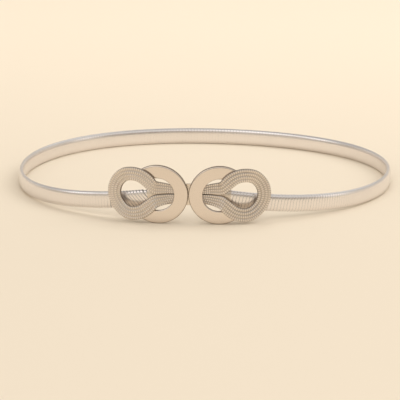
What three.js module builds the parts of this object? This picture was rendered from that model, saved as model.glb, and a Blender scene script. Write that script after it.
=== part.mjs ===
// A stretch metal waist belt with an interlaced two-part buckle, standing on its edge.
// Millimetres. +Z is up, the buckle faces -Y, and +X is to the right of someone who faces it.

import * as THREE from "three";
import { mergeVertices } from "three/addons/utils/BufferGeometryUtils.js";

// The loop seen from above: a circle that is a little out of round.
// A row adds its shares of the radius times the cosine and sine of so many turns.
const loopRadius = 101.5;
const outOfRound = [
  { lobes: 2, cosine: 0, sine: 0.006 },
  { lobes: 3, cosine: 0, sine: -0.009 },
  { lobes: 4, cosine: -0.009, sine: 0.003 },
];

// The band: a fine coil pressed flat, with rounded edges
const bandWidth = 9;
const bandThickness = 2.8;
const bandFullness = 2.6;
const bandSides = 16;
const bandStep = 6.2;

// The band lies on its lower edge and rises to the buckle, which stands on its two rings
const bandRise = 11.65;
const riseReach = 147;
const risePower = 2.5;

// Rings: flat, polished, with a rounded front edge. Depths count from the ring's back.
// Each is open on its outer side, where the cord covers its two ends.
const ringRadius = 15.4;
const holeRadius = 8.5;
const ringSteps = 46;
const ringOpening = THREE.MathUtils.degToRad(40);
const ringProfile = [
  { radius: holeRadius, depth: 0.3 },
  { radius: holeRadius + 0.3, depth: 0 },
  { radius: ringRadius - 0.3, depth: 0 },
  { radius: ringRadius, depth: 0.3 },
  { radius: ringRadius, depth: 1.35 },
  { radius: ringRadius - 0.3, depth: 1.74 },
  { radius: ringRadius - 1, depth: 1.9 },
  { radius: holeRadius + 0.6, depth: 1.9 },
  { radius: holeRadius, depth: 1.5 },
];

// Where things lie, counted along the loop from the buckle's middle
const ringAcross = ringRadius + 0.15;
const clipStart = 3.6;
const clipEnd = 21.4;
const plateReach = 3;

// How far things stand out from the band's middle line
const legUnder = 2.1;
const ringBack = 3.7;
const legOver = 5.9;
const loopBack = 3.4;
const plateBack = 2.0;

// Ribbed cord: its inner edge is a teardrop, and its legs narrow towards the ring's far side.
// Places count from the ring's centre, outward from the buckle's middle and up.
const strands = 4;
const legEnd = -12.1;
const legSpace = 0.15;
const roundCentre = 12.35;
const innerRound = 7;
const outerRound = 14;
const innerBend = 6;
const outerBend = 2.5;
const innerSlant = THREE.MathUtils.degToRad(40);
const outerSlant = THREE.MathUtils.degToRad(57);
const legTaper = THREE.MathUtils.degToRad(16.7);
const climb = { from: -6.4, to: 4.2 };
const descent = { from: 12.2, to: 18.4 };
const thinCord = 1.3;
const fullCord = 1.7;
const strandDip = 0.35;
const cordCrown = 0.25;
const cordEdge = { back: 0.05, height: 0.45 };

// Clips, plate and the space between pieces
const space = 0.3;
const clipWall = 0.4;
const tongueWidth = 8.2;
const tongueThickness = 2.2;
const plateThickness = 1.4;
const plateHeight = 11.2;

const buckleHeight = ringRadius;

class LoopFromAbove extends THREE.Curve {
  getPoint(share, target = new THREE.Vector3()) {
    const turn = 2 * Math.PI * share;
    let reach = 1;
    for (const { lobes, cosine, sine } of outOfRound) {
      reach += cosine * Math.cos(lobes * turn) + sine * Math.sin(lobes * turn);
    }
    const radius = loopRadius * reach;
    return target.set(radius * Math.sin(turn), -radius * Math.cos(turn), 0);
  }
}

const loop = new LoopFromAbove();
loop.arcLengthDivisions = 2000;
const girth = loop.getLength();

// A point so far along the loop, out from the band's middle line, and above the ground.
// Lengths to the left of the buckle's middle are negative.
function place(along, out, height) {
  const share = THREE.MathUtils.euclideanModulo(along / girth, 1);
  const point = loop.getPointAt(share);
  const heading = loop.getTangentAt(share);
  return new THREE.Vector3(point.x + heading.y * out, point.y - heading.x * out, height);
}

// The height of the band's middle line
function bandHeight(along) {
  const onward = THREE.MathUtils.euclideanModulo(along, girth);
  const away = Math.min(onward, girth - onward);
  return bandWidth / 2 + bandRise * Math.max(0, 1 - away / riseReach) ** risePower;
}

// A rounded oblong, flat for a short stretch at its top, bottom and sides
function oblong(width, thickness) {
  const soften = (value) => Math.sign(value) * Math.abs(value) ** (2 / bandFullness);
  const reach = soften(Math.cos(Math.PI / bandSides));
  return Array.from({ length: bandSides }, (_, side) => {
    const turn = (2 * Math.PI * (side + 0.5)) / bandSides;
    const out = (soften(Math.cos(turn)) / reach) * (thickness / 2);
    const up = (soften(Math.sin(turn)) / reach) * (width / 2);
    return { out, up };
  });
}

// An outline set square to the band's middle line, so far along the loop
function acrossBand(along, outline) {
  const rise = bandHeight(along + 0.5) - bandHeight(along - 0.5);
  const lean = Math.atan(rise);
  const height = bandHeight(along);
  return outline.map(({ out, up }) =>
    place(along - up * Math.sin(lean), out, height + up * Math.cos(lean)));
}

function enclosedVolume(geometry) {
  const corners = geometry.getAttribute("position");
  const [a, b, c] = [new THREE.Vector3(), new THREE.Vector3(), new THREE.Vector3()];
  let volume = 0;
  for (let i = 0; i < geometry.index.count; i += 3) {
    a.fromBufferAttribute(corners, geometry.index.getX(i));
    b.fromBufferAttribute(corners, geometry.index.getX(i + 1));
    c.fromBufferAttribute(corners, geometry.index.getX(i + 2));
    volume += a.dot(b.cross(c)) / 6;
  }
  return volume;
}

// The left half's pieces are mirror images, so their triangles may need turning round
function facingOut(geometry) {
  if (enclosedVolume(geometry) < 0) {
    const turned = Array.from(geometry.index.array);
    for (let i = 0; i < turned.length; i += 3) {
      [turned[i], turned[i + 1]] = [turned[i + 1], turned[i]];
    }
    geometry.setIndex(turned);
  }
  geometry.computeVertexNormals();
  return geometry;
}

// A skin over a row of sections, each with as many points as the next, closed at both ends
function loft(sections) {
  const count = sections[0].length;
  const points = sections.flat();
  const index = [];
  for (let row = 0; row < sections.length - 1; row += 1) {
    for (let k = 0; k < count; k += 1) {
      const near = row * count + k;
      const next = row * count + ((k + 1) % count);
      index.push(near, next, near + count, next, next + count, near + count);
    }
  }
  for (const row of [0, sections.length - 1]) {
    const centre = new THREE.Vector3();
    sections[row].forEach((point) => centre.addScaledVector(point, 1 / count));
    const hub = points.push(centre) - 1;
    for (let k = 0; k < count; k += 1) {
      const near = row * count + k;
      const next = row * count + ((k + 1) % count);
      index.push(...(row === 0 ? [hub, next, near] : [hub, near, next]));
    }
  }
  const geometry = new THREE.BufferGeometry().setFromPoints(points);
  geometry.setIndex(index);
  return facingOut(geometry);
}

function evenSteps(from, to, step) {
  const count = Math.max(1, Math.round((to - from) / step));
  return Array.from({ length: count + 1 }, (_, k) => from + ((to - from) * k) / count);
}

// The band's ends are pressed smaller, to go into the clips
function bandShape() {
  const full = oblong(bandWidth, bandThickness);
  const tongue = oblong(tongueWidth, tongueThickness);
  const tongueSteps = evenSteps(clipStart + clipWall + space, clipEnd + space / 2, bandStep);
  const shoulder = clipEnd + space;
  return loft([
    ...tongueSteps.map((along) => acrossBand(along, tongue)),
    ...evenSteps(shoulder, girth - shoulder, bandStep).map((along) => acrossBand(along, full)),
    ...tongueSteps.toReversed().map((along) => acrossBand(girth - along, tongue)),
  ]);
}

// A sleeve over the band's end, closed towards the buckle's middle
function clipShape(side) {
  const socket = oblong(tongueWidth + 2 * space, tongueThickness + 2 * space);
  const outside = oblong(
    tongueWidth + 2 * (space + clipWall), tongueThickness + 2 * (space + clipWall));
  const inward = evenSteps(clipStart + clipWall, clipEnd, bandStep).toReversed();
  return loft([
    ...evenSteps(clipStart, clipEnd, bandStep).map((along) => acrossBand(side * along, outside)),
    ...inward.map((along) => acrossBand(side * along, socket)),
  ]);
}

function ringShape(side) {
  const turns = Array.from({ length: ringSteps + 1 }, (_, k) =>
    THREE.MathUtils.lerp(ringOpening, 2 * Math.PI - ringOpening, k / ringSteps));
  return loft(turns.map((turn) => ringProfile.map(({ radius, depth }) => place(
    side * (ringAcross + radius * Math.cos(turn)),
    ringBack + depth,
    buckleHeight + radius * Math.sin(turn)))));
}

// The upper half of the cord's inner edge: leg, bend, slant and round end
function innerEdge() {
  const slantTop = new THREE.Vector2(
    roundCentre - innerRound * Math.sin(innerSlant), innerRound * Math.cos(innerSlant));
  const bendTop = legSpace + innerBend * (1 - Math.cos(innerSlant));
  const slantFoot = new THREE.Vector2(
    slantTop.x - (slantTop.y - bendTop) / Math.tan(innerSlant), bendTop);
  const bendStart = new THREE.Vector2(
    slantFoot.x - innerBend * Math.sin(innerSlant), legSpace);
  const down = -Math.PI / 2;
  return [
    new THREE.LineCurve(new THREE.Vector2(legEnd, legSpace), bendStart),
    new THREE.EllipseCurve(
      bendStart.x, legSpace + innerBend, innerBend, innerBend, down, down + innerSlant),
    new THREE.LineCurve(slantFoot, slantTop),
    new THREE.EllipseCurve(
      roundCentre, 0, innerRound, innerRound, Math.PI / 2 + innerSlant, 0, true),
  ];
}

// The upper half of its outer edge, in the same four stretches
function outerEdge() {
  const roundStart = new THREE.Vector2(
    roundCentre - outerRound * Math.sin(outerSlant), outerRound * Math.cos(outerSlant));
  const bendCentre = new THREE.Vector2(
    roundStart.x - outerBend * Math.sin(outerSlant),
    roundStart.y + outerBend * Math.cos(outerSlant));
  const bendStart = new THREE.Vector2(
    bendCentre.x + outerBend * Math.sin(legTaper),
    bendCentre.y - outerBend * Math.cos(legTaper));
  const legStart = new THREE.Vector2(
    legEnd, bendStart.y - (bendStart.x - legEnd) * Math.tan(legTaper));
  const down = -Math.PI / 2;
  const round = (from, to) =>
    new THREE.EllipseCurve(roundCentre, 0, outerRound, outerRound, from, to, true);
  return [
    new THREE.LineCurve(legStart, bendStart),
    new THREE.EllipseCurve(
      bendCentre.x, bendCentre.y, outerBend, outerBend, down + legTaper, down + outerSlant),
    round(Math.PI / 2 + outerSlant, Math.PI / 2 + innerSlant),
    round(Math.PI / 2 + innerSlant, 0),
  ];
}

// Pairs of points on the two edges, from the upper leg round to the lower one
function cordStations() {
  const inner = innerEdge();
  const outer = outerEdge();
  const steps = [10, 4, 4, 14];
  const upper = [];
  steps.forEach((count, stretch) => {
    for (let k = 0; k < count; k += 1) {
      const share = k / count;
      upper.push([inner[stretch].getPoint(share), outer[stretch].getPoint(share)]);
    }
  });
  const turned = ([a, b]) => [new THREE.Vector2(a.x, -a.y), new THREE.Vector2(b.x, -b.y)];
  const lower = upper.map(turned).toReversed();
  const tip = [inner[3].getPoint(1), outer[3].getPoint(1)];
  return [...upper, tip, ...lower];
}

// The cord's back climbs from under the ring to over it, then comes down at the round end
function cordBack(x) {
  const up = THREE.MathUtils.smoothstep(x, climb.from, climb.to);
  const down = THREE.MathUtils.smoothstep(x, descent.from, descent.to);
  return legUnder + (legOver - legUnder) * up + (loopBack - legOver) * down;
}

function cordThickness(x) {
  return thinCord + (fullCord - thinCord) * THREE.MathUtils.smoothstep(x, climb.from, climb.to);
}

// A flat back, a little narrower, and a crowned front of side-by-side strands.
// Shares count across the cord's width, and heights are shares of its thickness.
function cordOutline() {
  const front = Array.from({ length: 2 * strands - 1 }, (_, k) => {
    const share = (k + 1) / (2 * strands);
    const crown = 1 - cordCrown * (2 * share - 1) ** 2;
    return { share, height: crown, dip: k % 2 === 1 ? strandDip : 0 };
  });
  return [
    { share: cordEdge.back, height: 0, dip: 0 },
    { share: 0, height: cordEdge.height, dip: 0 },
    ...front,
    { share: 1, height: cordEdge.height, dip: 0 },
    { share: 1 - cordEdge.back, height: 0, dip: 0 },
  ];
}

function cordShape(side) {
  const outline = cordOutline();
  const sections = cordStations().map(([inner, outer]) => {
    const back = cordBack(inner.x);
    const thickness = cordThickness(inner.x);
    return outline.map(({ share, height, dip }) => {
      const x = THREE.MathUtils.lerp(inner.x, outer.x, share);
      const y = THREE.MathUtils.lerp(inner.y, outer.y, share);
      return place(
        side * (ringAcross + x), back + height * thickness - dip, buckleHeight + y);
    });
  });
  return loft(sections);
}

// A plain plate behind the rings where they meet, bent at its middle as the loop bends
function plateShape() {
  const ends = [-plateReach, 0, plateReach];
  const front = ends.map((along) => place(along, plateBack + plateThickness, 0));
  const back = ends.toReversed().map((along) => place(along, plateBack, 0));
  const outline = new THREE.Shape([...front, ...back].map(({ x, y }) => new THREE.Vector2(x, y)));
  const plate = new THREE.ExtrudeGeometry(outline, { depth: plateHeight, bevelEnabled: false });
  plate.deleteAttribute("normal");
  plate.deleteAttribute("uv");
  plate.translate(0, 0, buckleHeight - plateHeight / 2);
  return facingOut(mergeVertices(plate, 1e-4));
}

function metal(color, roughness) {
  return new THREE.MeshStandardMaterial({ color, roughness, metalness: 1 });
}

const coiledSteel = metal(0xcfcbc4, 0.35);
const polishedAlloy = metal(0xe2d2c0, 0.12);
const cordAlloy = metal(0xb9aa98, 0.4);
const plainAlloy = metal(0xc4bfb8, 0.3);

const sides = [{ name: "left", side: -1 }, { name: "right", side: 1 }];

const belt = new THREE.Group();

function add(name, geometry, material) {
  const mesh = new THREE.Mesh(geometry, material);
  mesh.name = name;
  belt.add(mesh);
}

add("band", bandShape(), coiledSteel);
for (const { name, side } of sides) {
  add(`ring_${name}`, ringShape(side), polishedAlloy);
  add(`cord_loop_${name}`, cordShape(side), cordAlloy);
  add(`band_clip_${name}`, clipShape(side), plainAlloy);
}
add("clasp_hook", plateShape(), plainAlloy);

// The origin is on the ground, under the middle of the whole
const middle = new THREE.Box3().setFromObject(belt).getCenter(new THREE.Vector3());
belt.position.set(-middle.x, -middle.y, 0);

export default belt;
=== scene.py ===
import math
from bisect import bisect_right

import bmesh
import bpy
from bpy.props import FloatProperty, FloatVectorProperty, IntProperty, PointerProperty
from mathutils import Matrix, Vector


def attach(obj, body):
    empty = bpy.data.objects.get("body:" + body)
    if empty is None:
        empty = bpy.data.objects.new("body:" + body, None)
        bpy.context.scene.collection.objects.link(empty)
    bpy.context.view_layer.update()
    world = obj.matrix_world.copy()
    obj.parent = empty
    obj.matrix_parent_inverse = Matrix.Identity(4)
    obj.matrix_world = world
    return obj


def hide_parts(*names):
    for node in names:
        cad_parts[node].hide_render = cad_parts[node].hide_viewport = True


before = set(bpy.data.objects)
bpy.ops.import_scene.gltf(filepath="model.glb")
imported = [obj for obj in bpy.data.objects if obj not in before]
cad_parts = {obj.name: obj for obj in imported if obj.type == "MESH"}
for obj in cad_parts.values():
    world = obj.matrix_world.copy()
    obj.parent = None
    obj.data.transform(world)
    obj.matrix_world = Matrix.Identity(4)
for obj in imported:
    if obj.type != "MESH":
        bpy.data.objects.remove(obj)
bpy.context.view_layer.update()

bl_info = {
    "name": "Stretch Metal Waist Belt",
    "version": (1, 0, 0),
    "blender": (4, 5, 0),
    "location": "3D View > Sidebar > Belt",
    "description": "Dresses the solids of a stretch metal waist belt with its coil, cords and metals",
    "category": "Object",
}

# Lengths in the tables and functions below are in millimetres, and meshes are in metres
MM = 0.001

# The loop seen from above, the same as the solids: where its middle lies, and its rows of out-of-round
LOOP_CENTRE = Vector((-0.909, 2.3229))
LOOP_RADIUS = 101.5
OUT_OF_ROUND = (
    {"lobes": 2, "cosine": 0.0, "sine": 0.006},
    {"lobes": 3, "cosine": 0.0, "sine": -0.009},
    {"lobes": 4, "cosine": -0.009, "sine": 0.003},
)

# The band lies on its lower edge and rises to the buckle
BAND_RISE = 11.65
RISE_REACH = 147
RISE_POWER = 2.5

# Lengths from the buckle's middle between which the left turns start and stop to slant, and the painted
# shade in the grooves between the turns fades on each side, to the share of it that the far grooves keep
LEAN_GROWS = (8.0, 18.0)
LEAN_FADES = (34.0, 44.0)
LEFT_GROOVE_SHADE_FADE = (25.0, 55.0)
RIGHT_GROOVE_SHADE_FADE = (15.0, 100.0)
FAR_GROOVE_SHADE = 0.15
# The pressed wire's width as a share of the pitch, so that its turns touch
WIRE_SHARE = 1.03

# Each ring is open on its outer side, where the cord covers its two ends
RING_RADIUS = 15.4
HOLE_RADIUS = 8.5
RING_THICKNESS = 1.9
RING_OPENING = math.radians(40)
RING_ACROSS = RING_RADIUS + 0.15
BUCKLE_HEIGHT = RING_RADIUS
# The corners of the ring's section, from the back one at the hole round to the front one there. Across
# and deep lead from the corner to the middle of its rounding
RING_CORNERS = (
    {"radius": HOLE_RADIUS, "depth": 0.0, "across": 0.3, "deep": 0.3, "steps": 4},
    {"radius": RING_RADIUS, "depth": 0.0, "across": -0.3, "deep": 0.3, "steps": 4},
    {"radius": RING_RADIUS, "depth": RING_THICKNESS, "across": -1.0, "deep": -0.55, "steps": 12},
    {"radius": HOLE_RADIUS, "depth": RING_THICKNESS, "across": 0.6, "deep": -0.4, "steps": 6},
)
# The depths between which the painted shade on the ring's walls fades out towards its front and back
WALL_SHADE_FRONT_FADE = (1.62, 1.8)
WALL_SHADE_BACK_FADE = (0.0, 0.3)

# Clips on the band's narrower ends, by length from the buckle's middle
CLIP_START = 3.6
CLIP_END = 21.4
CLIP_WALL = 0.4
SPACE = 0.3
TONGUE_HEIGHT = 8.2
TONGUE_THICKNESS = 2.2
# How much smaller the sleeve is near its closed end and its mouth, by length from each
CLOSED_END = (
    {"from_end": 0.0, "shrink": 0.6},
    {"from_end": 0.1, "shrink": 0.25},
    {"from_end": 0.35, "shrink": 0.0},
)
MOUTH = (
    {"from_end": 0.12, "shrink": 0.0},
    {"from_end": 0.03, "shrink": 0.1},
    {"from_end": 0.0, "shrink": 0.3},
)
PLAIN_SLEEVE = (CLIP_START + 0.9, CLIP_END - 0.5)
SOCKET_MOUTH = CLIP_END - 0.05

# How far out from the band's middle line the backs of the cord and the ring lie: the cord goes from
# under the ring to over it, then comes down at its round end
LEG_UNDER = 2.1
RING_BACK = 3.7
LEG_OVER = 5.9
LOOP_BACK = 3.4

# A cord's inner edge is a teardrop, and its legs narrow towards the buckle's middle
LEG_END = -12.1
LEG_SPACE = 0.15
ROUND_CENTRE = 12.35
INNER_ROUND = 7.0
OUTER_ROUND = 14.0
INNER_BEND = 6.0
OUTER_BEND = 2.5
INNER_SLANT = math.radians(40)
OUTER_SLANT = math.radians(57)
LEG_TAPER = math.radians(16.7)
# Where it climbs over the ring and comes down again, outward from the ring's centre
CLIMB = (-6.4, 4.2)
DESCENT = (12.2, 18.4)
# How thick it is under the ring and over it, and how much lower its edges are than its middle, as a
# share of that
THIN_CORD = 1.3
FULL_CORD = 1.7
CORD_CROWN = 0.25
# The bed's front and back are a little narrower than the cord, as shares of its width
BED_FRONT_INSET = 0.02
BED_BACK_INSET = 0.03
BED_EDGE = 0.2

# How much of the painted shade in the grooves between the strands is lifted: the right loop's get more
# painted shade
GROOVE_SHADE_LIFT = {"left": 0.9, "right": 0.55}

SIDES = (("left", -1), ("right", 1))

# How far apart the points of the coil's path and the sections of a clip are
PATH_STEP = 1.0
SLEEVE_STEP = 1.2
SOCKET_STEP = 3.0
# Faces that meet more sharply than this show an edge
SHARP_ANGLE = math.radians(38)

# Square soft lamps round the belt's middle, in degrees, metres and watts. Turn counts from the front
# to the right. A lamp that isn't mirrored lights the floor but doesn't show in the metal
SOFT_LAMPS = (
    {"name": "front_wash", "turn": 0, "height": 45, "away": 2.2, "size": 1.5, "watts": 8.5,
     "mirrored": False},
    {"name": "right_wash", "turn": 90, "height": 45, "away": 2.2, "size": 1.5, "watts": 14.0,
     "mirrored": False},
    {"name": "top_wash", "turn": 180, "height": 70, "away": 2.4, "size": 1.5, "watts": 11.5,
     "mirrored": False},
    {"name": "left_softbox", "turn": -45, "height": 45, "away": 2.2, "size": 1.5, "watts": 1.7,
     "mirrored": True},
    {"name": "back_softbox", "turn": 155, "height": 45, "away": 2.2, "size": 1.5, "watts": 2.7,
     "mirrored": True},
    {"name": "left_low_light", "turn": -80, "height": 22, "away": 1.6, "size": 0.6, "watts": 0.9,
     "mirrored": True},
    {"name": "right_low_light", "turn": 90, "height": 14, "away": 1.6, "size": 0.6, "watts": 0.5,
     "mirrored": True},
)

# Bright and dull are shares of a metal's colour, and its tone drifts between them. The groove shade is
# painted shade for its grooves and walls, as shares of red, green and blue, so that it can be browner
# than the metal. Spread is how much its roughness drifts, grain is how fine its grain is and relief is
# how high, in millimetres
FINISHES = {
    "coiled_steel": {
        "bright": 1.0, "dull": 0.94, "groove": (0.5, 0.5, 0.5),
        "roughness": 0.2, "spread": 0.04, "grain": 900.0, "relief": 0.004},
    "polished_alloy": {
        "bright": 1.0, "dull": 0.95, "groove": (0.3, 0.24, 0.17),
        "roughness": 0.14, "spread": 0.04, "grain": 400.0, "relief": 0.004},
    "cord_alloy": {
        "bright": 1.0, "dull": 0.8, "groove": (0.45, 0.45, 0.45),
        "roughness": 0.36, "spread": 0.1, "grain": 1500.0, "relief": 0.02},
    # The cord's bed is a little darker than its strands: painted shade between them
    "cord_bed_alloy": {
        "bright": 0.95, "dull": 0.8, "groove": (0.3, 0.25, 0.19),
        "roughness": 0.4, "spread": 0.1, "grain": 900.0, "relief": 0.02},
    "plain_alloy": {
        "bright": 1.0, "dull": 0.9, "groove": None,
        "roughness": 0.26, "spread": 0.06, "grain": 700.0, "relief": 0.006},
}
DRIFT_SCALE = 90.0
GRAIN_STRENGTH = 0.2

# How bright the surroundings are on each side, near the horizon and higher up, and overhead
GLOW = {
    "front left": {"low": 0.6, "high": 1.05},
    "front right": {"low": 0.4, "high": 0.75},
    "back": {"low": 0.75, "high": 0.5},
    "left": {"low": 0.5, "high": 0.5},
    "right": {"low": 0.6, "high": 0.7},
}
OVERHEAD_GLOW = 0.5
# Where one glow turns into the next, by the X, Y or Z of the direction
BLENDS = {
    "left to right": {"axis": "X", "low": -0.1, "high": 0.1},
    "front left to right": {"axis": "X", "low": -0.5, "high": 0.5},
    "front to sides": {"axis": "Y", "low": -0.6, "high": -0.2},
    "sides to back": {"axis": "Y", "low": 0.2, "high": 0.6},
    "low to high": {"axis": "Z", "low": 0.2, "high": 0.4},
    "high to overhead": {"axis": "Z", "low": 0.65, "high": 0.9},
}

# The floor's half width in metres, where its painted light rises towards the back, the painted shade in
# front as a share of the tone behind, and how much and how finely it is mottled
FLOOR_HALF = 8.0
PAINTED_LIGHT_RISE = (-0.2, 0.6)
FRONT_SHADE_SHARE = 0.84
MOTTLE = 0.03
MOTTLE_SCALE = 3.0


def smoothstep(value, low, high):
    """From 0 at the low value to 1 at the high one, with soft ends."""
    share = min(1.0, max(0.0, (value - low) / (high - low)))
    return share * share * (3 - 2 * share)


def srgb(red, green, blue):
    """A colour given as it looks on a screen, from 0 to 255, as Blender's linear one."""
    return tuple(
        c / 12.92 if c <= 0.04045 else ((c + 0.055) / 1.055) ** 2.4
        for c in (red / 255, green / 255, blue / 255)
    )


class LoopFromAbove:
    """The belt's middle line, by length from the buckle's middle. Lengths to the left are negative."""

    samples = 4000

    def __init__(self):
        self.lengths = [0.0]
        before = self.point(0)
        for k in range(1, self.samples + 1):
            here = self.point(2 * math.pi * k / self.samples)
            self.lengths.append(self.lengths[-1] + (here - before).length)
            before = here
        self.girth = self.lengths[-1]

    def point(self, turn):
        reach = 1 + sum(
            row["cosine"] * math.cos(row["lobes"] * turn) + row["sine"] * math.sin(row["lobes"] * turn)
            for row in OUT_OF_ROUND
        )
        radius = LOOP_RADIUS * reach
        return Vector((radius * math.sin(turn), -radius * math.cos(turn)))

    def turn_at(self, along):
        along %= self.girth
        k = min(bisect_right(self.lengths, along), self.samples) - 1
        share = (along - self.lengths[k]) / (self.lengths[k + 1] - self.lengths[k])
        return 2 * math.pi * (k + share) / self.samples

    def outward(self, along):
        """The level direction away from the loop's middle."""
        turn, near = self.turn_at(along), 0.001
        heading = (self.point(turn + near) - self.point(turn - near)).normalized()
        return Vector((heading.y, -heading.x, 0))

    def place(self, along, out, height):
        """A point so far along, out from the middle line and above the ground, in metres."""
        spot = self.point(self.turn_at(along)) + LOOP_CENTRE + self.outward(along).xy * out
        return Vector((spot.x, spot.y, height)) * MM


LOOP = LoopFromAbove()


def band_height(along, band):
    """The height of the band's middle line, which rises to the buckle."""
    onward = along % LOOP.girth
    away = min(onward, LOOP.girth - onward)
    return band / 2 + BAND_RISE * max(0.0, 1 - away / RISE_REACH) ** RISE_POWER


def lean_share(left):
    """How much of the full slant the turns have, by their length to the left of the buckle's middle."""
    return smoothstep(left, *LEAN_GROWS) * (1 - smoothstep(left, *LEAN_FADES))


def groove_share(along):
    """How much painted shade darkens the grooves between the turns: it shows most beside the buckle."""
    left = LOOP.girth - along
    fade = LEFT_GROOVE_SHADE_FADE if left < along else RIGHT_GROOVE_SHADE_FADE
    return 1 - (1 - FAR_GROOVE_SHADE) * smoothstep(min(along, left), *fade)


def link(name, mesh):
    """A new object in the scene, at the origin."""
    piece = bpy.data.objects.new(name, mesh)
    bpy.context.scene.collection.objects.link(piece)
    return piece


def skin(name, sections, material, unshaded=None):
    """A closed skin over a row of sections with as many points each, with a flat cap at both ends.

    The attribute for painted shade, when given, has a value for each point of a section: 0 takes the
    painted shade, 1 the metal's own tone."""
    count = len(sections[0])
    shape = bmesh.new()
    rows = [[shape.verts.new(point) for point in section] for section in sections]
    for row, onward in zip(rows, rows[1:]):
        for k in range(count):
            after = (k + 1) % count
            shape.faces.new((row[k], row[after], onward[after], onward[k]))
    shape.faces.new(rows[0])
    shape.faces.new(rows[-1])
    bmesh.ops.recalc_face_normals(shape, faces=shape.faces)
    mesh = bpy.data.meshes.new(name)
    shape.to_mesh(mesh)
    shape.free()
    mesh.materials.append(material)
    mesh.shade_smooth()
    mesh.set_sharp_from_angle(angle=SHARP_ANGLE)
    if unshaded:
        attribute = mesh.attributes.new("unshaded", "FLOAT", "POINT")
        attribute.data.foreach_set("value", unshaded * len(sections))
    return link(name, mesh)


class Value:
    """A socket that arithmetic can be written with: each operator adds a Math node to its tree."""

    def __init__(self, nodes, socket):
        self.nodes = nodes
        self.socket = socket

    def math(self, operation, *values):
        return self.nodes.add("ShaderNodeMath", {"operation": operation}, dict(enumerate(values)))

    def __add__(self, other):
        return self.math("ADD", self, other)

    def __radd__(self, other):
        return self.math("ADD", other, self)

    def __sub__(self, other):
        return self.math("SUBTRACT", self, other)

    def __rsub__(self, other):
        return self.math("SUBTRACT", other, self)

    def __mul__(self, other):
        return self.math("MULTIPLY", self, other)

    def __rmul__(self, other):
        return self.math("MULTIPLY", other, self)

    def __truediv__(self, other):
        return self.math("DIVIDE", self, other)

    def __rtruediv__(self, other):
        return self.math("DIVIDE", other, self)

    def __pow__(self, other):
        return self.math("POWER", self, other)

    def __abs__(self):
        return self.math("ABSOLUTE", self)

    def sign(self):
        return self.math("SIGN", self)

    def cosine(self):
        return self.math("COSINE", self)

    def sine(self):
        return self.math("SINE", self)

    def least(self, other):
        return self.math("MINIMUM", self, other)


class Nodes:
    """Adds nodes to one tree."""

    def __init__(self, tree):
        self.tree = tree

    def add(self, kind, settings=None, values=None, output=0):
        """A node of that type. Its settings come first, then its sockets' values or links."""
        node = self.tree.nodes.new(kind)
        for name, setting in (settings or {}).items():
            setattr(node, name, setting)
        for name, value in (values or {}).items():
            if isinstance(value, Value):
                self.tree.links.new(value.socket, node.inputs[name])
            else:
                node.inputs[name].default_value = value
        return Value(self, node.outputs[output]) if node.outputs else node

    def inputs(self):
        """The tree's own inputs, by name."""
        start = self.tree.nodes.new("NodeGroupInput")
        return {socket.name: Value(self, socket) for socket in start.outputs}

    def attribute(self, name, kind="FLOAT"):
        return self.add("GeometryNodeInputNamedAttribute", {"data_type": kind}, {"Name": name})

    def position(self, axis):
        place = self.add("GeometryNodeInputPosition")
        return self.add("ShaderNodeSeparateXYZ", {}, {"Vector": place}, output=axis)

    def stored(self, geometry, name, value):
        """The geometry with that value kept at its points."""
        return self.add("GeometryNodeStoreNamedAttribute", {"data_type": "FLOAT"}, {
            "Geometry": geometry, "Name": name, "Value": value})

    def vector(self, operation, *values):
        return self.add("ShaderNodeVectorMath", {"operation": operation}, dict(enumerate(values)))

    def scaled(self, vector, amount):
        return self.add("ShaderNodeVectorMath", {"operation": "SCALE"}, {0: vector, "Scale": amount})

    def mixed(self, factor, first, second):
        """From the first colour to the second as the factor goes from 0 to 1."""
        node = self.tree.nodes.new("ShaderNodeMix")
        node.data_type = "RGBA"
        for name, value in zip(("Factor_Float", "A_Color", "B_Color"), (factor, first, second)):
            socket = next(s for s in node.inputs if s.identifier == name)
            if isinstance(value, Value):
                self.tree.links.new(value.socket, socket)
            else:
                socket.default_value = value
        return Value(self, next(s for s in node.outputs if s.identifier == "Result_Color"))


def metal(name, colour):
    """A metal whose tone and gloss drift a little, with a fine grain, by its row of finishes.

    Where the row has a groove shade, an attribute at each point mixes in that painted shade: the tone is
    the painted shade at 0 and its own at 1."""
    finish = FINISHES[name]

    def tinted(share):
        return (*(c * share for c in colour), 1)

    material = bpy.data.materials.new(name)
    material.use_nodes = True
    material.node_tree.nodes.clear()
    nodes = Nodes(material.node_tree)
    place = nodes.add("ShaderNodeTexCoord", output="Object")
    drift = nodes.add("ShaderNodeTexNoise", {}, {"Vector": place, "Scale": DRIFT_SCALE, "Detail": 3.0})
    fine = nodes.add("ShaderNodeTexNoise", {}, {
        "Vector": place, "Scale": finish["grain"], "Detail": 2.0})
    rough = finish["roughness"] + (drift - 0.5) * finish["spread"] + (fine - 0.5) * finish["spread"]
    tone = nodes.mixed(drift, tinted(finish["dull"]), tinted(finish["bright"]))
    # Painted shade: where the attribute is low, the tone turns to the groove shade, darkening grooves
    # and walls
    if finish["groove"]:
        unshaded = nodes.add("ShaderNodeAttribute", {"attribute_name": "unshaded"}, output="Fac")
        groove = tuple(c * share for c, share in zip(colour, finish["groove"]))
        tone = nodes.mixed(unshaded, (*groove, 1), tone)
    surface = nodes.add("ShaderNodeBump", {}, {
        "Strength": GRAIN_STRENGTH, "Distance": finish["relief"] * MM, "Height": fine})
    shader = nodes.add("ShaderNodeBsdfPrincipled", {}, {
        "Base Color": tone,
        "Metallic": 1.0,
        "Roughness": rough,
        "Normal": surface,
    })
    nodes.add("ShaderNodeOutputMaterial", {}, {"Surface": shader})
    return material


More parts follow.
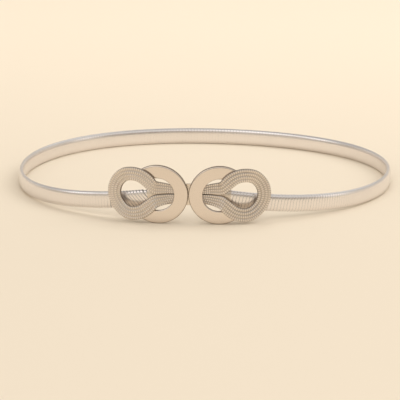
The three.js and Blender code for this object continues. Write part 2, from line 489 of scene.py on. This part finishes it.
def tree_with(name, inputs):
    """An empty geometry tree with those inputs, each a row of name, socket type and default value."""
    tree = bpy.data.node_groups.new(name, "GeometryNodeTree")
    tree.is_modifier = True
    tree.interface.new_socket("Geometry", in_out="INPUT", socket_type="NodeSocketGeometry")
    for label, kind, value in inputs:
        socket = tree.interface.new_socket(label, in_out="INPUT", socket_type=kind)
        if value is not None:
            socket.default_value = value
    tree.interface.new_socket("Geometry", in_out="OUTPUT", socket_type="NodeSocketGeometry")
    return tree


def grow(piece, tree, inputs):
    """Runs the tree on the piece with those inputs, and leaves its result as the piece's plain mesh."""
    modifier = piece.modifiers.new("Growth", "NODES")
    modifier.node_group = tree
    for item in tree.interface.items_tree:
        if item.in_out == "INPUT" and item.name in inputs:
            modifier[item.identifier] = inputs[item.name]
    evaluated = piece.evaluated_get(bpy.context.evaluated_depsgraph_get())
    mesh = bpy.data.meshes.new_from_object(evaluated)
    piece.modifiers.clear()
    piece.data = mesh
    return piece


def closing(nodes, geometry, material):
    """The tree's end: smooth faces, real geometry and its material."""
    smooth = nodes.add("GeometryNodeSetShadeSmooth", {}, {"Geometry": geometry})
    real = nodes.add("GeometryNodeRealizeInstances", {}, {"Geometry": smooth})
    painted = nodes.add("GeometryNodeSetMaterial", {}, {"Geometry": real, "Material": material})
    nodes.add("NodeGroupOutput", {}, {"Geometry": painted})


def pressed_coil_tree():
    """A flat wire wound round a path, in a narrower coil at both ends of the path.

    The path's lean attribute slants the turns: how far they shift along it for each step up. Its
    attribute for the grooves is how much painted shade darkens the turns at their sides."""
    tree = tree_with("Pressed Coil", (
        ("Pitch", "NodeSocketFloat", 1.75 * MM),
        ("Band Height", "NodeSocketFloat", 9 * MM),
        ("Band Thickness", "NodeSocketFloat", 2.8 * MM),
        ("Tongue Height", "NodeSocketFloat", 8.2 * MM),
        ("Tongue Thickness", "NodeSocketFloat", 2.2 * MM),
        ("Tongue Length", "NodeSocketFloat", 17 * MM),
        ("Shoulder", "NodeSocketFloat", 0.3 * MM),
        ("Wire Width", "NodeSocketFloat", 1.75 * MM),
        ("Wire Depth", "NodeSocketFloat", 0.6 * MM),
        ("Wire Fullness", "NodeSocketFloat", 8.0),
        ("Wire Sides", "NodeSocketInt", 12),
        ("Groove Shade Share", "NodeSocketFloat", 0.12),
        ("Fullness", "NodeSocketFloat", 2.6),
        ("Steps per Turn", "NodeSocketInt", 18),
        ("Material", "NodeSocketMaterial", None),
    ))
    nodes = Nodes(tree)
    given = nodes.inputs()
    path = nodes.add("GeometryNodeMeshToCurve", {}, {"Mesh": given["Geometry"]})
    fine = nodes.add("GeometryNodeResampleCurve", {"mode": "LENGTH"}, {
        "Curve": path, "Length": given["Pitch"] / given["Steps per Turn"]})
    along = nodes.add("GeometryNodeSplineParameter", output="Length")
    whole = nodes.add("GeometryNodeSplineLength", output="Length")
    full = nodes.add("ShaderNodeMapRange", {"interpolation_type": "SMOOTHSTEP"}, {
        "Value": along.least(whole - along),
        "From Min": given["Tongue Length"],
        "From Max": given["Tongue Length"] + given["Shoulder"],
    })
    height = given["Tongue Height"] + (given["Band Height"] - given["Tongue Height"]) * full
    thickness = (
        given["Tongue Thickness"] + (given["Band Thickness"] - given["Tongue Thickness"]) * full)
    half_height = (height - given["Wire Depth"]) / 2
    half_thickness = (thickness - given["Wire Depth"]) / 2

    turn = along / given["Pitch"] * (2 * math.pi)
    cosine, sine = turn.cosine(), turn.sine()
    soft = 2 / given["Fullness"]
    outward = cosine.sign() * abs(cosine) ** soft * half_thickness
    upward = sine.sign() * abs(sine) ** soft * half_height
    face_out = cosine.sign() * abs(cosine) ** (2 - soft) / half_thickness
    face_up = sine.sign() * abs(sine) ** (2 - soft) / half_height

    heading = nodes.add("GeometryNodeInputTangent")
    out = nodes.vector("NORMALIZE", nodes.vector("CROSS_PRODUCT", heading, (0, 0, 1)))
    up = nodes.vector("CROSS_PRODUCT", out, heading)
    facing = nodes.vector("ADD", nodes.scaled(out, face_out), nodes.scaled(up, face_up))
    section = nodes.vector("ADD", nodes.scaled(out, outward), nodes.scaled(up, upward))
    shift = nodes.scaled(heading, upward * nodes.attribute("lean"))
    turned = nodes.add("GeometryNodeSetCurveNormal", {"mode": "FREE"}, {
        "Curve": fine, "Normal": nodes.vector("NORMALIZE", facing)})
    wound = nodes.add("GeometryNodeSetPosition", {}, {
        "Geometry": turned, "Offset": nodes.vector("ADD", section, shift)})
    circle = nodes.add("GeometryNodeCurvePrimitiveCircle", {"mode": "RADIUS"}, {
        "Resolution": given["Wire Sides"], "Radius": 1.0})
    half_side = math.pi / given["Wire Sides"]
    turned_circle = nodes.add("GeometryNodeTransform", {}, {
        "Geometry": circle, "Rotation": nodes.add("ShaderNodeCombineXYZ", {}, {"Z": half_side})})
    deep, wide = nodes.position("X"), nodes.position("Y")
    boxy = 2 / given["Wire Fullness"]
    pressed = nodes.add("ShaderNodeCombineXYZ", {}, {
        "X": deep.sign() * abs(deep) ** boxy * (given["Wire Depth"] / 2),
        "Y": wide.sign() * abs(wide) ** boxy * (given["Wire Width"] / 2),
    })
    flat = nodes.add("GeometryNodeSetPosition", {}, {"Geometry": turned_circle, "Position": pressed})
    # Painted shade in the grooves: from 0 at the wire's sides to 1 a little way in, scaled by the path's
    # share
    to_side = (1 - abs(nodes.position("Y")) / (given["Wire Width"] / 2)) / given["Groove Shade Share"]
    profile = nodes.stored(flat, "flat", to_side.least(1))
    lean = nodes.attribute("lean")
    tube = nodes.add("GeometryNodeCurveToMesh", {}, {
        "Curve": wound, "Profile Curve": profile, "Scale": 1 / (1 + lean * lean) ** 0.5,
        "Fill Caps": True})
    unshaded = 1 - (1 - nodes.attribute("flat")) * nodes.attribute("groove")
    tube = nodes.stored(tube, "unshaded", unshaded)
    closing(nodes, tube, given["Material"])
    return tree


def ribbed_strand_tree():
    """Flattened strands along paths, with fine ribs across them.

    Each path point has its strand's half width and the way that its flat side faces."""
    tree = tree_with("Ribbed Strands", (
        ("Rib Pitch", "NodeSocketFloat", 1.15 * MM),
        ("Rib Depth", "NodeSocketFloat", 0.4),
        ("Rib Fullness", "NodeSocketFloat", 0.8),
        ("Relief", "NodeSocketFloat", 0.3),
        ("Side Shade Fullness", "NodeSocketFloat", 6.0),
        ("Steps per Rib", "NodeSocketInt", 8),
        ("Strand Sides", "NodeSocketInt", 12),
        ("Material", "NodeSocketMaterial", None),
    ))
    nodes = Nodes(tree)
    given = nodes.inputs()
    path = nodes.add("GeometryNodeMeshToCurve", {}, {"Mesh": given["Geometry"]})
    fine = nodes.add("GeometryNodeResampleCurve", {"mode": "LENGTH"}, {
        "Curve": path, "Length": given["Rib Pitch"] / given["Steps per Rib"]})
    along = nodes.add("GeometryNodeSplineParameter", output="Length")
    swell = abs((along / given["Rib Pitch"] * math.pi).sine()) ** given["Rib Fullness"]
    ribbed = nodes.attribute("half_width") * (1 - given["Rib Depth"] * (1 - swell))
    marked = nodes.stored(fine, "swell", swell)
    faced = nodes.add("GeometryNodeSetCurveNormal", {"mode": "FREE"}, {
        "Curve": marked, "Normal": nodes.attribute("facing", "FLOAT_VECTOR")})
    circle = nodes.add("GeometryNodeCurvePrimitiveCircle", {"mode": "RADIUS"}, {
        "Resolution": given["Strand Sides"], "Radius": 1.0})
    flatness = nodes.add("ShaderNodeCombineXYZ", {}, {"X": given["Relief"], "Y": 1.0, "Z": 1.0})
    outline = nodes.add("GeometryNodeTransform", {}, {"Geometry": circle, "Scale": flatness})
    # Painted shade: each strand is darker towards its sides and in the hollows between its ribs
    middle = 1 - abs(nodes.position("Y")) ** given["Side Shade Fullness"]
    outline = nodes.stored(outline, "middle", middle)
    tube = nodes.add("GeometryNodeCurveToMesh", {}, {
        "Curve": faced, "Profile Curve": outline, "Scale": ribbed, "Fill Caps": True})
    tube = nodes.stored(tube, "unshaded", nodes.attribute("middle") * nodes.attribute("swell"))
    closing(nodes, tube, given["Material"])
    return tree


def path_mesh(name, lines, **values):
    """Rows of points as loose edges. The other names are attributes, with a value for each point."""
    mesh = bpy.data.meshes.new(name)
    points, edges = [], []
    for line in lines:
        first = len(points)
        points.extend(line)
        edges.extend((first + k, first + k + 1) for k in range(len(line) - 1))
    mesh.from_pydata(points, edges, [])
    for label, rows in values.items():
        flat = [value for row in rows for value in row]
        if isinstance(flat[0], Vector):
            attribute = mesh.attributes.new(label, "FLOAT_VECTOR", "POINT")
            attribute.data.foreach_set("vector", [part for value in flat for part in value])
        else:
            attribute = mesh.attributes.new(label, "FLOAT", "POINT")
            attribute.data.foreach_set("value", flat)
    return mesh


def even_steps(low, high, step):
    """Evenly spaced values from low to high, about a step apart."""
    count = max(1, round((high - low) / step))
    return [low + (high - low) * k / count for k in range(count + 1)]


def arc_points(centre, radius, start, end, count):
    """Points of an arc from one turn to another, without its last one."""
    turns = (start + (end - start) * k / count for k in range(count))
    return [centre + Vector((math.cos(t), math.sin(t))) * radius for t in turns]


def line_points(start, end, count):
    """Points of a straight line, without its last one."""
    return [start.lerp(end, k / count) for k in range(count)]


def cord_stations(counts=(26, 10, 8, 40)):
    """Pairs of points on the cord's inner and outer edge, from the upper leg round to the lower one.

    Places count from the ring's centre, outward from the buckle's middle and up."""
    leg, bend, slant, quarter = counts
    down = -math.pi / 2
    centre = Vector((ROUND_CENTRE, 0))
    slant_top = centre + Vector((-math.sin(INNER_SLANT), math.cos(INNER_SLANT))) * INNER_ROUND
    bend_top = LEG_SPACE + INNER_BEND * (1 - math.cos(INNER_SLANT))
    slant_foot = Vector((slant_top.x - (slant_top.y - bend_top) / math.tan(INNER_SLANT), bend_top))
    bend_start = Vector((slant_foot.x - INNER_BEND * math.sin(INNER_SLANT), LEG_SPACE))
    inner = (
        line_points(Vector((LEG_END, LEG_SPACE)), bend_start, leg)
        + arc_points(
            bend_start + Vector((0, INNER_BEND)), INNER_BEND, down, down + INNER_SLANT, bend)
        + line_points(slant_foot, slant_top, slant)
        + arc_points(centre, INNER_ROUND, -down + INNER_SLANT, 0, quarter)
        + [centre + Vector((INNER_ROUND, 0))]
    )
    round_start = centre + Vector((-math.sin(OUTER_SLANT), math.cos(OUTER_SLANT))) * OUTER_ROUND
    bend_centre = round_start + Vector((-math.sin(OUTER_SLANT), math.cos(OUTER_SLANT))) * OUTER_BEND
    outer_start = bend_centre + Vector((math.sin(LEG_TAPER), -math.cos(LEG_TAPER))) * OUTER_BEND
    leg_start = Vector((
        LEG_END, outer_start.y - (outer_start.x - LEG_END) * math.tan(LEG_TAPER)))
    outer = (
        line_points(leg_start, outer_start, leg)
        + arc_points(bend_centre, OUTER_BEND, down + LEG_TAPER, down + OUTER_SLANT, bend)
        + arc_points(centre, OUTER_ROUND, -down + OUTER_SLANT, -down + INNER_SLANT, slant)
        + arc_points(centre, OUTER_ROUND, -down + INNER_SLANT, 0, quarter)
        + [centre + Vector((OUTER_ROUND, 0))]
    )
    upper = list(zip(inner, outer))
    flip = Vector((1, -1))
    lower = [(a * flip, b * flip) for a, b in reversed(upper[:-1])]
    return upper + lower


def cord_back(x):
    """How far the cord's back stands out: under the ring, over it, then down at the round end."""
    up = smoothstep(x, *CLIMB)
    down = smoothstep(x, *DESCENT)
    return LEG_UNDER + (LEG_OVER - LEG_UNDER) * up + (LOOP_BACK - LEG_OVER) * down


def cord_thickness(x):
    """The cord is thinner where it lies under the ring."""
    return THIN_CORD + (FULL_CORD - THIN_CORD) * smoothstep(x, *CLIMB)


def cord_crest(x, share):
    """How far the cord's front stands out, by share of its width."""
    return cord_back(x) + cord_thickness(x) * (1 - CORD_CROWN * (2 * share - 1) ** 2)


def buckle_place(side, point, out):
    """A point of one half of the buckle, which follows the loop's curve."""
    return LOOP.place(side * (RING_ACROSS + point.x), out, BUCKLE_HEIGHT + point.y)


def strand_width(stations, k, strands):
    """The width that each strand has at one station, square to the cord's run."""
    before, after = stations[max(k - 1, 0)], stations[min(k + 1, len(stations) - 1)]
    run = ((after[0] + after[1]) - (before[0] + before[1])).normalized()
    across = stations[k][1] - stations[k][0]
    return abs(run.cross(across)) / strands


def strand_paths(side, strands, relief):
    """The middle line of each strand of one cord, and its half width and facing at each point."""
    stations = cord_stations()
    lines, widths, facings = [], [], []
    for number in range(strands):
        share = (number + 0.5) / strands
        line, row, faces = [], [], []
        for k, (inner, outer) in enumerate(stations):
            half_width = strand_width(stations, k, strands) / 2
            middle = inner.lerp(outer, share)
            out = cord_crest(inner.x, share) - half_width * relief
            line.append(buckle_place(side, middle, out))
            row.append(half_width * MM)
            faces.append(LOOP.outward(side * (RING_ACROSS + middle.x)))
        lines.append(line)
        widths.append(row)
        facings.append(faces)
    return lines, widths, facings


def cord_bed_sections(side, strands, relief):
    """The flat bed that the strands are sunk in."""
    stations = cord_stations()
    middles = [(number + 0.5) / strands for number in range(strands)]
    shares = [BED_FRONT_INSET, *middles, 1 - BED_FRONT_INSET]
    sections = []
    for k, (inner, outer) in enumerate(stations):
        sunk = strand_width(stations, k, strands) / 2 * relief
        back = cord_back(inner.x)
        top = [(share, cord_crest(inner.x, share) - sunk) for share in shares]
        near = [(BED_BACK_INSET, back), (0.0, back + BED_EDGE)]
        far = [(1.0, back + BED_EDGE), (1 - BED_BACK_INSET, back)]
        outline = near + top + far
        sections.append([
            buckle_place(side, inner.lerp(outer, share), out) for share, out in outline])
    return sections


def ring_section():
    """The outline of the ring's cut, as points of radius and depth from its back."""
    outline = []
    for quarter, corner in enumerate(RING_CORNERS, start=-2):
        across, deep, steps = corner["across"], corner["deep"], corner["steps"]
        for k in range(steps + 1):
            turn = (quarter + k / steps) * math.pi / 2
            outline.append((
                corner["radius"] + across + abs(across) * math.cos(turn),
                corner["depth"] + deep + abs(deep) * math.sin(turn),
            ))
    return outline


def ring_shade_mask():
    """How clear of painted shade each point of the section is: the walls are painted darker than the
    front and the back.
    """
    return [
        max(smoothstep(depth, *WALL_SHADE_FRONT_FADE), 1 - smoothstep(depth, *WALL_SHADE_BACK_FADE))
        for radius, depth in ring_section()
    ]


def ring_sections(side, steps=150):
    """The ring's cuts from one of its ends round to the other."""
    turns = (RING_OPENING + (2 * math.pi - 2 * RING_OPENING) * k / steps for k in range(steps + 1))
    section = ring_section()
    return [
        [
            buckle_place(
                side, Vector((math.cos(turn), math.sin(turn))) * radius, RING_BACK + depth)
            for radius, depth in section
        ]
        for turn in turns
    ]


def oblong(height, thickness, fullness, sides=48):
    """Points of a rounded oblong, as out and up."""
    def soften(value):
        return math.copysign(abs(value) ** (2 / fullness), value)

    turns = (2 * math.pi * k / sides for k in range(sides))
    return [
        (soften(math.cos(t)) * thickness / 2, soften(math.sin(t)) * height / 2) for t in turns]


def across_band(along, outline, band):
    """An outline set square to the band's middle line."""
    lean = math.atan(band_height(along + 0.5, band) - band_height(along - 0.5, band))
    height = band_height(along, band)
    return [
        LOOP.place(along - up * math.sin(lean), out, height + up * math.cos(lean))
        for out, up in outline
    ]


def clip_sections(side, sizes):
    """A sleeve with a rounded closed end and a rounded lip round its mouth."""
    wall = 2 * (SPACE + CLIP_WALL)
    band = sizes.band_height / MM
    rows = [(CLIP_START + row["from_end"], row["shrink"]) for row in CLOSED_END]
    rows += [(along, 0.0) for along in even_steps(*PLAIN_SLEEVE, SLEEVE_STEP)]
    rows += [(CLIP_END - row["from_end"], row["shrink"]) for row in MOUTH]
    outside = []
    for along, shrink in rows:
        height, thickness = TONGUE_HEIGHT + wall - shrink, TONGUE_THICKNESS + wall - shrink
        outline = oblong(height, thickness, sizes.fullness)
        outside.append(across_band(side * along, outline, band))
    socket = oblong(TONGUE_HEIGHT + 2 * SPACE, TONGUE_THICKNESS + 2 * SPACE, sizes.fullness)
    inward = even_steps(CLIP_START + CLIP_WALL, SOCKET_MOUTH, SOCKET_STEP)
    return outside + [across_band(side * along, socket, band) for along in reversed(inward)]


class BeltSizes(bpy.types.PropertyGroup):
    """Sizes that a user would change."""

    band_height: FloatProperty(
        name="Band Height", description="How tall the band stands", unit="LENGTH",
        default=9 * MM, min=4 * MM, max=30 * MM)
    band_thickness: FloatProperty(
        name="Band Thickness", description="From the band's inner face to its outer face",
        unit="LENGTH", default=2.8 * MM, min=1 * MM, max=8 * MM)
    fullness: FloatProperty(
        name="Fullness", description="2 makes the band's section an ellipse, more makes it boxier",
        default=2.6, min=2.0, max=8.0)
    coil_pitch: FloatProperty(
        name="Coil Pitch", description="From one turn of the band's wire to the next",
        unit="LENGTH", default=1.75 * MM, min=0.6 * MM, max=4 * MM)
    wire_depth: FloatProperty(
        name="Wire Depth", description="Thickness of the pressed wire, square to the band",
        unit="LENGTH", default=0.6 * MM, min=0.2 * MM, max=2 * MM)
    lean: FloatProperty(
        name="Lean", description="Slant of the coil's turns beside the left half of the buckle",
        subtype="ANGLE", default=math.radians(35), min=0.0, max=math.radians(60))
    strands: IntProperty(
        name="Strands", description="Strands side by side in each cord", default=4, min=2, max=9)
    strand_relief: FloatProperty(
        name="Strand Relief", description="Height of a strand's crown, as a share of half its width",
        subtype="FACTOR", default=0.3, min=0.1, max=1.0)
    rib_pitch: FloatProperty(
        name="Rib Pitch", description="From one rib across a strand to the next",
        unit="LENGTH", default=1.15 * MM, min=0.3 * MM, max=4 * MM)
    rib_depth: FloatProperty(
        name="Rib Depth", description="How deep the ribs are cut, as a share of the strand's size",
        subtype="FACTOR", default=0.4, min=0.0, max=0.6)


class BeltColours(bpy.types.PropertyGroup):
    """Colours that a user would change."""

    coil: FloatVectorProperty(
        name="Coil", description="Colour of the band's wire", subtype="COLOR",
        default=srgb(243, 239, 238), min=0.0, max=1.0)
    ring: FloatVectorProperty(
        name="Rings", description="Colour of the polished rings", subtype="COLOR",
        default=srgb(233, 223, 214), min=0.0, max=1.0)
    cord: FloatVectorProperty(
        name="Cords", description="Colour of the ribbed cords", subtype="COLOR",
        default=srgb(251, 241, 231), min=0.0, max=1.0)
    plain: FloatVectorProperty(
        name="Clips and Plate", description="Colour of the clips and the plate", subtype="COLOR",
        default=srgb(232, 222, 210), min=0.0, max=1.0)
    floor: FloatVectorProperty(
        name="Floor", description="Colour of the pale floor", subtype="COLOR",
        default=srgb(251, 236, 213), min=0.0, max=1.0)
    air: FloatVectorProperty(
        name="Surroundings", description="Colour of the soft light from all round", subtype="COLOR",
        default=srgb(255, 250, 244), min=0.0, max=1.0)
    horizon: FloatVectorProperty(
        name="Horizon", description="Colour of the soft light from near the ground", subtype="COLOR",
        default=srgb(251, 237, 218), min=0.0, max=1.0)
    lamps: FloatVectorProperty(
        name="Lamps", description="Colour of the soft lamps", subtype="COLOR",
        default=srgb(255, 255, 255), min=0.0, max=1.0)


class BELT_OT_coil_band(bpy.types.Operator):
    """Winds the flattened coil that makes the stretch band"""

    bl_idname = "belt.coil_band"
    bl_label = "Coil Band"

    def execute(self, context):
        sizes, colours = context.scene.belt_sizes, context.scene.belt_colours
        band = sizes.band_height / MM
        start = CLIP_START + CLIP_WALL + SPACE
        steps = even_steps(start, LOOP.girth - start, PATH_STEP)
        line = [LOOP.place(along, 0, band_height(along, band)) for along in steps]
        leans = [-math.tan(sizes.lean) * lean_share(LOOP.girth - along) for along in steps]
        # How much painted shade the grooves get along the band
        grooves = [groove_share(along) for along in steps]
        piece = link("coil", path_mesh("coil_path", [line], lean=[leans], groove=[grooves]))
        material = metal("coiled_steel", colours.coil)
        grow(piece, pressed_coil_tree(), {
            "Pitch": sizes.coil_pitch,
            "Band Height": sizes.band_height,
            "Band Thickness": sizes.band_thickness,
            "Tongue Height": TONGUE_HEIGHT * MM,
            "Tongue Thickness": TONGUE_THICKNESS * MM,
            "Tongue Length": (CLIP_END + SPACE / 2 - start) * MM,
            "Wire Width": sizes.coil_pitch * WIRE_SHARE,
            "Wire Depth": sizes.wire_depth,
            "Fullness": sizes.fullness,
            "Material": material,
        })
        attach(piece, "root")
        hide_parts("band")
        return {"FINISHED"}


class BELT_OT_rings(bpy.types.Operator):
    """Makes the two flat polished rings"""

    bl_idname = "belt.rings"
    bl_label = "Polished Rings"

    def execute(self, context):
        material = metal("polished_alloy", context.scene.belt_colours.ring)
        for name, side in SIDES:
            # The rings' walls get painted shade
            piece = skin(f"polished_ring_{name}", ring_sections(side), material, unshaded=ring_shade_mask())
            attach(piece, "root")
            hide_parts(f"ring_{name}")
        return {"FINISHED"}


class BELT_OT_cords(bpy.types.Operator):
    """Lays the ribbed strands of both teardrop loops on their beds"""

    bl_idname = "belt.cords"
    bl_label = "Ribbed Cords"

    def execute(self, context):
        sizes, colours = context.scene.belt_sizes, context.scene.belt_colours
        material = metal("cord_alloy", colours.cord)
        bed_material = metal("cord_bed_alloy", colours.cord)
        tree = ribbed_strand_tree()
        for name, side in SIDES:
            lines, widths, facings = strand_paths(side, sizes.strands, sizes.strand_relief)
            paths = path_mesh(f"strand_paths_{name}", lines, half_width=widths, facing=facings)
            piece = link(f"strands_{name}", paths)
            grow(piece, tree, {
                "Rib Pitch": sizes.rib_pitch,
                "Rib Depth": sizes.rib_depth,
                "Relief": sizes.strand_relief,
                "Material": material,
            })
            sections = cord_bed_sections(side, sizes.strands, sizes.strand_relief)
            # Painted shade: the bed's side walls take the full painted shade, the grooves between
            # strands part of it, and its back none
            front = [0.0] + [GROOVE_SHADE_LIFT[name]] * sizes.strands + [0.0]
            unshaded = [1.0, 0.0] + front + [0.0, 1.0]
            bed = skin(f"cord_bed_{name}", sections, bed_material, unshaded=unshaded)
            for part in (piece, bed):
                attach(part, "root")
                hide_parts(f"cord_loop_{name}")
        return {"FINISHED"}


class BELT_OT_clips(bpy.types.Operator):
    """Makes the sleeves over the band's ends, and finishes the plate between the rings"""

    bl_idname = "belt.clips"
    bl_label = "Clips and Plate"

    def execute(self, context):
        material = metal("plain_alloy", context.scene.belt_colours.plain)
        for name, side in SIDES:
            piece = skin(
                f"clip_sleeve_{name}", clip_sections(side, context.scene.belt_sizes), material)
            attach(piece, "root")
            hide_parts(f"band_clip_{name}")
        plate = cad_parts["clasp_hook"]
        plate.data.materials.clear()
        plate.data.materials.append(material)
        return {"FINISHED"}


def soft_light(row, colour):
    """A square soft lamp turned to the belt's middle."""
    turn, height = math.radians(row["turn"]), math.radians(row["height"])
    level = math.cos(height)
    lamp = bpy.data.lights.new(row["name"], "AREA")
    lamp.size = row["size"]
    lamp.energy = row["watts"]
    lamp.color = colour
    holder = bpy.data.objects.new(row["name"], lamp)
    bpy.context.scene.collection.objects.link(holder)
    away = Vector((math.sin(turn) * level, -math.cos(turn) * level, math.sin(height)))
    holder.location = away * row["away"]
    holder.rotation_euler = (-away).to_track_quat("-Z", "Y").to_euler()
    holder.visible_glossy = row["mirrored"]
    return holder


def studio_air(colour, low_colour):
    """Surroundings with a soft glow that differs from side to side and with height."""
    world = bpy.data.worlds.new("studio")
    world.use_nodes = True
    world.node_tree.nodes.clear()
    air = Nodes(world.node_tree)
    toward = air.add("ShaderNodeTexCoord", output="Generated")

    def blend(name, first, second):
        """From the first value to the second, across that row of the blends."""
        row = BLENDS[name]
        value = air.add("ShaderNodeSeparateXYZ", {}, {"Vector": toward}, output=row["axis"])
        share = air.add("ShaderNodeMapRange", {"interpolation_type": "SMOOTHSTEP"}, {
            "Value": value, "From Min": row["low"], "From Max": row["high"]})
        return first + share * (second - first)

    def around(level):
        glow = {side: row[level] for side, row in GLOW.items()}
        sides = blend("left to right", glow["left"], glow["right"])
        front = blend("front left to right", glow["front left"], glow["front right"])
        return blend("front to sides", front, blend("sides to back", sides, glow["back"]))

    upward = blend("low to high", around("low"), around("high"))
    strength = blend("high to overhead", upward, OVERHEAD_GLOW)
    rise = blend("low to high", 0.0, 1.0)
    tone = air.mixed(rise, (*low_colour, 1), (*colour, 1))
    sky = air.add("ShaderNodeBackground", {}, {"Color": tone, "Strength": strength})
    air.add("ShaderNodeOutputWorld", {}, {"Surface": sky})
    return world


def floor_paint(colour):
    """The pale floor, a little darker in front than behind, as in the photo: painted light and shade for
    light that is stronger on the far floor.
    """
    paint = bpy.data.materials.new("pale_floor")
    paint.use_nodes = True
    paint.node_tree.nodes.clear()
    nodes = Nodes(paint.node_tree)
    place = nodes.add("ShaderNodeTexCoord", output="Object")
    mottle = nodes.add("ShaderNodeTexNoise", {}, {"Vector": place, "Scale": MOTTLE_SCALE})
    # Painted light and shade: the floor is lighter towards the back and darker in front
    backward = nodes.add("ShaderNodeSeparateXYZ", {}, {"Vector": place}, output="Y")
    start, end = PAINTED_LIGHT_RISE
    rise = nodes.add("ShaderNodeMapRange", {"interpolation_type": "SMOOTHSTEP"}, {
        "Value": backward, "From Min": start, "From Max": end})
    near = tuple(c * FRONT_SHADE_SHARE for c in colour)
    shader = nodes.add("ShaderNodeBsdfPrincipled", {}, {
        "Base Color": nodes.mixed(
            rise * (1 - MOTTLE) + mottle * MOTTLE, (*near, 1), (*colour, 1)),
        "Roughness": 0.9,
        "Specular IOR Level": 0.1,
    })
    nodes.add("ShaderNodeOutputMaterial", {}, {"Surface": shader})
    return paint


def floor_mesh(paint):
    """One large level square."""
    reach = FLOOR_HALF
    corners = [(-reach, -reach, 0), (reach, -reach, 0), (reach, reach, 0), (-reach, reach, 0)]
    mesh = bpy.data.meshes.new("floor")
    mesh.from_pydata(corners, [], [(0, 1, 2, 3)])
    mesh.materials.append(paint)
    return mesh


def photo_camera():
    """The camera at the photograph's place: a long lens, a little above the belt and to its right."""
    image_width, sensor = 400, 36.0
    distance, focal_pixels = 1.76, 3198
    elevation, swing, roll = math.radians(12.25), math.radians(4.25), math.radians(0.13)
    offset = Vector((3.4, 27.3))
    target = Vector((LOOP_CENTRE.x, LOOP_CENTRE.y, 4.5)) * MM
    back = Vector((
        math.sin(swing) * math.cos(elevation),
        -math.cos(swing) * math.cos(elevation),
        math.sin(elevation),
    ))
    level = (-back).cross(Vector((0, 0, 1))).normalized()
    over = level.cross(-back)
    right = level * math.cos(roll) + over * math.sin(roll)
    up = over * math.cos(roll) - level * math.sin(roll)
    ahead = (-back - right * (offset.x / focal_pixels) - up * (offset.y / focal_pixels)).normalized()
    right = (right - ahead * right.dot(ahead)).normalized()
    up = right.cross(ahead)
    lens = bpy.data.cameras.new("photo_camera")
    lens.sensor_width = sensor
    lens.lens = sensor * focal_pixels / image_width
    lens.clip_end = 50
    camera = bpy.data.objects.new("photo_camera", lens)
    bpy.context.scene.collection.objects.link(camera)
    pose = Matrix((right, up, -ahead)).transposed().to_4x4()
    pose.translation = target + back * distance
    camera.matrix_world = pose
    return camera


class BELT_OT_stage(bpy.types.Operator):
    """Sets the pale floor, the soft light and the camera"""

    bl_idname = "belt.stage"
    bl_label = "Stage"

    def execute(self, context):
        scene, colours = context.scene, context.scene.belt_colours
        scene.view_settings.view_transform = "Standard"
        link("floor", floor_mesh(floor_paint(colours.floor)))
        scene.world = studio_air(colours.air, colours.horizon)
        for row in SOFT_LAMPS:
            soft_light(row, colours.lamps)
        scene.camera = photo_camera()
        return {"FINISHED"}


class BELT_PT_panel(bpy.types.Panel):
    """Lists the belt's sizes, colours and steps"""

    bl_idname = "BELT_PT_panel"
    bl_label = "Stretch Metal Belt"
    bl_space_type = "VIEW_3D"
    bl_region_type = "UI"
    bl_category = "Belt"

    def draw(self, context):
        layout = self.layout
        for group in (context.scene.belt_sizes, context.scene.belt_colours):
            box = layout.box()
            for name in group.__annotations__:
                box.prop(group, name)
        for step in STEPS:
            layout.operator(step.bl_idname)


STEPS = (BELT_OT_stage, BELT_OT_coil_band, BELT_OT_rings, BELT_OT_cords, BELT_OT_clips)
CLASSES = (BeltSizes, BeltColours, *STEPS, BELT_PT_panel)


def register():
    for kind in CLASSES:
        bpy.utils.register_class(kind)
    bpy.types.Scene.belt_sizes = PointerProperty(type=BeltSizes)
    bpy.types.Scene.belt_colours = PointerProperty(type=BeltColours)


def unregister():
    del bpy.types.Scene.belt_colours
    del bpy.types.Scene.belt_sizes
    for kind in reversed(CLASSES):
        bpy.utils.unregister_class(kind)


def main():
    register()
    bpy.ops.belt.stage()
    bpy.ops.belt.coil_band()
    bpy.ops.belt.rings()
    bpy.ops.belt.cords()
    bpy.ops.belt.clips()


if __name__ == "__main__":
    main()
